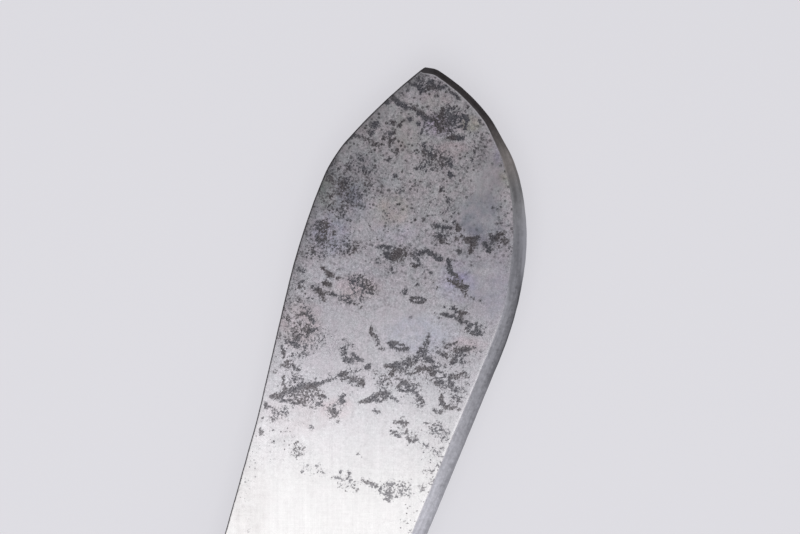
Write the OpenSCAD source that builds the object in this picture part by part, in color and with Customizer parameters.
// Machete: a broad farm blade with a full tang, two wooden scales and five riveted pins
// +X runs from the butt to the tip, +Y towards the spine, +Z out of the right-hand face
// The origin is the centre of the lanyard hole, midway through the blade's thickness
// Depths are measured from the line of the spine, and setbacks from the corner of the tip

/* [Blade] */
// Length of the blade, from the front of the handle to the corner of the tip
blade_len = 380; // [340:5:420]
// Thickness of the blade and its tang
blade_t = 3; // [2.4:0.1:3.6]
// Width of the blade where it leaves the handle
heel_w = 43.6; // [41:0.2:47]
// Length of the parallel stretch ahead of the handle
heel_run = 60.4; // [45:0.1:80]
// Radius of the bend where the blade starts to widen
heel_r = 900; // [500:10:1200]
// Chamfer along the spine and round the tang
arris = 0.3; // [0.1:0.05:0.5]

/* [Cutting edge] */
// Setback of the belly's corner
belly_back = 73.2; // [65:0.1:85]
// Depth of the belly's corner
belly_w = 74; // [72:0.1:80]
// Radius of the belly
belly_r = 126; // [90:1:150]
// Setback of the corner where the edge sweeps up to the nose
sweep_back = 46.9; // [38:0.1:54]
// Depth of that corner
sweep_w = 70.8; // [68:0.1:71.5]
// Radius of the sweep
sweep_r = 71.6; // [50:0.1:90]
// Setback of the nose's corner
nose_back = 9.6; // [7:0.1:13]
// Depth of the nose's corner
nose_w = 54.7; // [48:0.1:58]
// Radius of the nose
nose_r = 61; // [40:1:75]
// Thickness left at the cutting edge
edge_t = 0.4; // [0.2:0.05:0.8]
// Width of the ground bevel on the straight part of the edge
bevel_w = 5.2; // [3.5:0.1:7]
// Width of the ground bevel at the tip
bevel_tip_w = 2.3; // [1.5:0.1:2.8]
// Setback at which the bevel reaches its full width
bevel_run = 150; // [100:5:200]
// Length of plain blade between the handle and the bevel
ricasso = 32; // [20:1:50]
// Length over which the bevel starts
bevel_fade = 22; // [10:1:40]

/* [Tip and back] */
// Depth of the tip's corner
tip_w = 23.1; // [20:0.1:28]
// Radius of the worn tip
tip_r = 3; // [2.9:0.1:5]
// Setback of the clip's middle corner
clip_back = 16.8; // [13:0.1:20]
// Depth of the clip's middle corner
clip_w = 11.1; // [9:0.1:12.5]
// Radius of the clip
clip_r = 189; // [100:1:220]
// Setback of the shoulder, where the clip meets the back
shoulder_back = 38.6; // [34:0.1:44]
// Depth of the shoulder
shoulder_w = 0.5; // [0:0.1:2]
// Radius of the shoulder
shoulder_r = 47; // [30:1:60]
// Setback of the hump in the back
hump_back = 66.6; // [58:0.1:76]
// Height of the hump above the line of the spine
hump_rise = 2.7; // [1:0.1:4]
// Radius of the hump
hump_r = 250; // [150:1:300]
// Setback of the bend where the hump starts
bend_back = 126.3; // [110:0.1:150]
// Radius of that bend
bend_r = 185; // [100:1:400]

/* [Handle] */
// Distance from the lanyard hole to the front of the handle
handle_front = 118; // [108:1:128]
// Distance from the lanyard hole to the rearmost corner of the butt
butt_back = 17.5; // [15:0.5:22]
// Depth of that corner below the lanyard hole
butt_drop = 12; // [8:0.5:14]
// Distance from the lanyard hole to the butt's upper corner
butt_top_back = 14; // [12:0.5:15]
// Height of the spine above the lanyard hole
spine_rise = 22; // [20:0.2:24]
// Distance from the front of the handle to where its top starts to fall
crown_run = 46; // [35:1:60]
// Radius at which the top starts to fall
crown_r = 160; // [80:5:250]
// Fall of the top from the crown to the butt
butt_fall = 9; // [5:0.2:11]
// Radius of the butt's upper corner
butt_r = 11; // [8.5:0.1:12]
// Radius of the butt's back
butt_pad_r = 14; // [8.5:0.5:20]
// Distance from the lanyard hole to the corner of the beak
beak_back = 12; // [9:0.5:14]
// Depth of the beak below the lanyard hole
beak_drop = 26; // [23:0.5:30]
// Radius of the beak
beak_r = 8.5; // [8:0.1:11]
// Height of the finger groove above the heel of the blade
groove_rise = 8.1; // [5:0.1:10]
// Distance from the front of the handle to the swell
swell_run = 18; // [14:0.5:22]
// Radius of the swell
swell_r = 22; // [12:1:30]
// Distance from the front of the handle to the front of the finger groove
groove_run = 40; // [34:1:46]
// Distance from the lanyard hole to the rear of the finger groove
groove_back = 38; // [32:1:46]
// Radius at both ends of the finger groove
groove_r = 45; // [25:1:60]
// Thickness of one wooden scale
scale_t = 10.5; // [8.5:0.1:13]
// Rounding along the outer edges of the scales
scale_round = 7; // [4:0.1:7.5]
// Radius of the lanyard hole
lanyard_r = 3.5; // [2.5:0.1:4.5]

/* [Rivets] */
// Number of rivets
rivet_count = 5; // [3:1:5]
// Distance from the lanyard hole to the last rivet
rivet_rear = 20; // [17:0.5:24]
// Distance from the front of the handle to the first rivet
rivet_front = 14; // [13:0.5:18]
// Height of the row of rivets above the lanyard hole
rivet_rise = 2; // [0:0.1:3]
// Radius of a rivet's pin
pin_r = 2; // [1.5:0.1:2.5]
// Radius of a pin's peened head
head_r = 3.4; // [3:0.1:4]
// Height of a pin's peened head
head_h = 0.9; // [0.5:0.1:1.2]
// Depth of the peened heads below the faces of the scales
head_sink = 0.2; // [0:0.05:0.5]
// Radius of the burr under a head
burr_r = 5; // [4.4:0.1:5.5]
// Thickness of a burr
burr_t = 1.2; // [0.8:0.1:1.6]
// Clearance round a pin, all round
pin_gap = 0.05; // [0.02:0.01:0.15]
// Clearance round a burr in its counterbore, all round
burr_gap = 0.1; // [0.05:0.01:0.3]

/* [Hidden] */

tip_x = handle_front + blade_len;
half_t = blade_t / 2;
handle_half = half_t + scale_t;
seat_z = handle_half - head_sink - head_h - burr_t;
rivet_pitch = (handle_front - rivet_front - rivet_rear) / (rivet_count - 1);
rivet_places = [for (i = [1:rivet_count]) [rivet_rear + (i - 1) * rivet_pitch, rivet_rise]];
// Least flat that a rounding leaves on what it rounds
least_flat = 0.5;
// The rounding stays inside the tightest convex corner of the handle
edge_round = min(scale_round, min(butt_r, butt_pad_r, beak_r, scale_t) - least_flat);
round_steps = 6;
// Longest step along an outline, and largest turn from one step to the next
max_step = 6;
max_turn = 7;
// A step that leaves every straight run whole
whole_run = 10000;
// Share of a leg that its two roundings may take up
leg_share = 0.99;
// How far a cut runs past the face that it opens
past = 1;
hole_fn = 48;
dome_fn = 96;

// A corner [x, y, radius] that is placed from the tip and the line of the spine
function from_tip(back, depth, r) = [tip_x - back, spine_rise - depth, r];

// Corners of the handle from its top to the swell, turning left round the butt
handle_corners = [
    [handle_front - crown_run, spine_rise, crown_r],
    [-butt_top_back, spine_rise - butt_fall, butt_r],
    [-butt_back, -butt_drop, butt_pad_r],
    [-beak_back, -beak_drop, beak_r],
    [groove_back, spine_rise - heel_w + groove_rise, groove_r],
    [handle_front - groove_run, spine_rise - heel_w + groove_rise, groove_r],
    [handle_front - swell_run, spine_rise - heel_w, swell_r]
];
// Corners of the blade from its heel round the edge and the tip to the back
blade_corners = [
    [handle_front + heel_run, spine_rise - heel_w, heel_r],
    from_tip(belly_back, belly_w, belly_r),
    from_tip(sweep_back, sweep_w, sweep_r),
    from_tip(nose_back, nose_w, nose_r),
    from_tip(0, tip_w, tip_r),
    from_tip(clip_back, clip_w, clip_r),
    from_tip(shoulder_back, shoulder_w, shoulder_r),
    from_tip(hump_back, -hump_rise, hump_r),
    from_tip(bend_back, 0, bend_r)
];
// Both scales end square at the front of the handle
scale_corners = concat(handle_corners,
    [[handle_front, spine_rise - heel_w, 0], [handle_front, spine_rise, 0]]);

function unit(v) = v / norm(v);
function turned(v, a) = [v.x * cos(a) - v.y * sin(a), v.x * sin(a) + v.y * cos(a)];
// 0 below the start of a ramp, 1 past its end and smooth between
function ramp(s) = let (t = max(0, min(1, s))) t * t * (3 - 2 * t);

// The arc that rounds corner p between the directions of its two legs
function corner_arc(p, back, ahead, r) = r == 0 ? [p] :
    let (half = acos(back * ahead) / 2,
         centre = p + unit(back + ahead) * r / sin(half),
         first = p + back * r / tan(half) - centre,
         sweep = (180 - 2 * half) * sign(cross(-back, ahead)),
         n = ceil(max(2, abs(sweep) / max_turn, abs(sweep) * PI / 180 * r / max_step)))
    [for (k = [0:n]) centre + turned(first, sweep * k / n)];

// A closed outline through rounded corners, with straight runs cut into steps
function outline(corners, step = whole_run) =
    let (n = len(corners),
         p = [for (c = corners) [c.x, c.y]],
         leg = [for (i = [0:n - 1]) p[(i + 1) % n] - p[i]],
         ahead = [for (v = leg) unit(v)],
         back = [for (i = [0:n - 1]) -ahead[(i + n - 1) % n]],
         want = [for (i = [0:n - 1]) corners[i].z / tan(acos(back[i] * ahead[i]) / 2)],
         room = [for (i = [0:n - 1])
             let (both = want[i] + want[(i + 1) % n])
             both > 0 ? leg_share * norm(leg[i]) / both : 1],
         arcs = [for (i = [0:n - 1])
             corner_arc(p[i], back[i], ahead[i],
                 corners[i].z * min(1, room[i], room[(i + n - 1) % n]))])
    [for (i = [0:n - 1])
        let (from = arcs[i][len(arcs[i]) - 1],
             run = arcs[(i + 1) % n][0] - from,
             steps = ceil(norm(run) / step))
        each concat(arcs[i], steps < 2 ? [] : [for (k = [1:steps - 1]) from + run * k / steps])];

// The outline's points moved inwards, each by its own width, and set at its own height
function inset_ring(points, widths, heights) =
    let (n = len(points),
         inward = [for (i = [0:n - 1]) turned(unit(points[(i + 1) % n] - points[i]), 90)])
    [for (i = [0:n - 1])
        let (a = inward[(i + n - 1) % n],
             b = inward[i],
             q = points[i] + widths[i] * (a + b) / (1 + a * b))
        [q.x, q.y, heights[i]]];

function level(points, value) = [for (p = points) value];

// The index of the point of a ring that lies furthest along X, or against it where way is -1
function end_index(ring, way) = let (xs = [for (p = ring) way * p.x]) search(max(xs), xs)[0];
function real_triangle(a, b, c) = a == b || b == c || c == a ? [] : [[a, b, c]];

// Triangles strung between a lower and an upper run of points, both from left to right
function strung(ring, low, high, a = 0, b = 0) =
    a == len(low) - 1 && b == len(high) - 1 ? [] :
    b == len(high) - 1 || (a < len(low) - 1 && ring[low[a + 1]].x < ring[high[b + 1]].x)
        ? concat(real_triangle(low[a], low[a + 1], high[b]), strung(ring, low, high, a + 1, b))
        : concat(real_triangle(low[a], high[b + 1], high[b]), strung(ring, low, high, a, b + 1));

// Triangles that fill a flat ring
function cap(ring) =
    let (n = len(ring),
         left = end_index(ring, -1),
         right = end_index(ring, 1))
    strung(ring,
        [for (k = [0:(right - left + n) % n]) (left + k) % n],
        [for (k = [0:(left - right + n) % n]) (left - k + n) % n]);

// A closed skin over a stack of rings that all have the same number of points
module skin(rings) {
    n = len(rings[0]);
    top = len(rings) - 1;
    polyhedron(
        points = [for (ring = rings) each ring],
        faces = concat(
            cap(rings[0]),
            [for (k = [0:top - 1]) for (i = [0:n - 1])
                let (j = (i + 1) % n)
                each [[k * n + i, (k + 1) * n + i, (k + 1) * n + j],
                      [k * n + i, (k + 1) * n + j, k * n + j]]],
            [for (t = cap(rings[top])) [top * n + t.z, top * n + t.y, top * n + t.x]]));
}

// How much of the cutting bevel a point of the blade's outline has, from 0 to 1
function ground(p) =
    ramp((spine_rise - tip_w - p.y) / (2 * tip_r))
        * ramp((p.x - handle_front - ricasso) / bevel_fade);
function bevel_at(p) =
    bevel_tip_w + (bevel_w - bevel_tip_w) * sin(90 * min(1, (tip_x - p.x) / bevel_run));

// A hole along Z that opens on both faces of the handle
module through_hole(r) {
    cylinder(r = r, h = 2 * (handle_half + past), center = true, $fn = hole_fn);
}

module rivet_holes() {
    for (place = rivet_places) translate(place) through_hole(pin_r + pin_gap);
}

// Blade and tang in one piece, ground from both faces to a blunt edge
module blade() {
    points = outline(concat(handle_corners, blade_corners), max_step);
    widths = [for (p = points) arris + (bevel_at(p) - arris) * ground(p)];
    heights = [for (p = points) half_t - arris + (edge_t / 2 - half_t + arris) * ground(p)];
    flush = level(points, 0);
    color("dimgray") difference() {
        skin([
            inset_ring(points, widths, level(points, -half_t)),
            inset_ring(points, flush, -heights),
            inset_ring(points, flush, heights),
            inset_ring(points, widths, level(points, half_t))
        ]);
        through_hole(lanyard_r);
        rivet_holes();
    }
}

// One wooden scale, on the side of the tang that +Z faces
module scale_half() {
    points = outline(scale_corners);
    foot = inset_ring(points, level(points, 0), level(points, half_t));
    rings = [for (k = [0:round_steps])
        let (a = 90 * k / round_steps)
        inset_ring(points, level(points, edge_round * (1 - cos(a))),
            level(points, handle_half - edge_round * (1 - sin(a))))];
    difference() {
        skin(concat([foot], rings));
        through_hole(lanyard_r);
        rivet_holes();
        for (place = rivet_places)
            translate([place.x, place.y, seat_z])
                cylinder(r = burr_r + burr_gap, h = scale_t, $fn = hole_fn);
    }
}

module scale_right() {
    color("saddlebrown") scale_half();
}

module scale_left() {
    color("saddlebrown") mirror([0, 0, 1]) scale_half();
}

// The low dome that a pin's end is peened into, standing on a burr
module peened_head() {
    dome_r = (head_r * head_r + head_h * head_h) / (2 * head_h);
    translate([0, 0, seat_z + burr_t]) intersection() {
        translate([0, 0, head_h - dome_r]) sphere(r = dome_r, $fn = dome_fn);
        cylinder(r = head_r, h = head_h, $fn = hole_fn);
    }
}

// One rivet: a plain pin through the scales and the tang, peened at both ends
module rivet_pin(i) {
    color("silver") translate(rivet_places[i - 1]) {
        cylinder(r = pin_r, h = 2 * (seat_z + burr_t), center = true, $fn = hole_fn);
        peened_head();
        mirror([0, 0, 1]) peened_head();
    }
}

// One burr: the washer under a peened head, let into its scale
module burr(i) {
    place = rivet_places[i - 1];
    color("goldenrod") translate([place.x, place.y, seat_z])
        difference() {
            cylinder(r = burr_r, h = burr_t, $fn = hole_fn);
            translate([0, 0, -past])
                cylinder(r = pin_r + pin_gap, h = burr_t + 2 * past, $fn = hole_fn);
        }
}

blade();
scale_left();
scale_right();
for (i = [1:rivet_count]) {
    rivet_pin(i);
    burr(i);
    mirror([0, 0, 1]) burr(i);
}
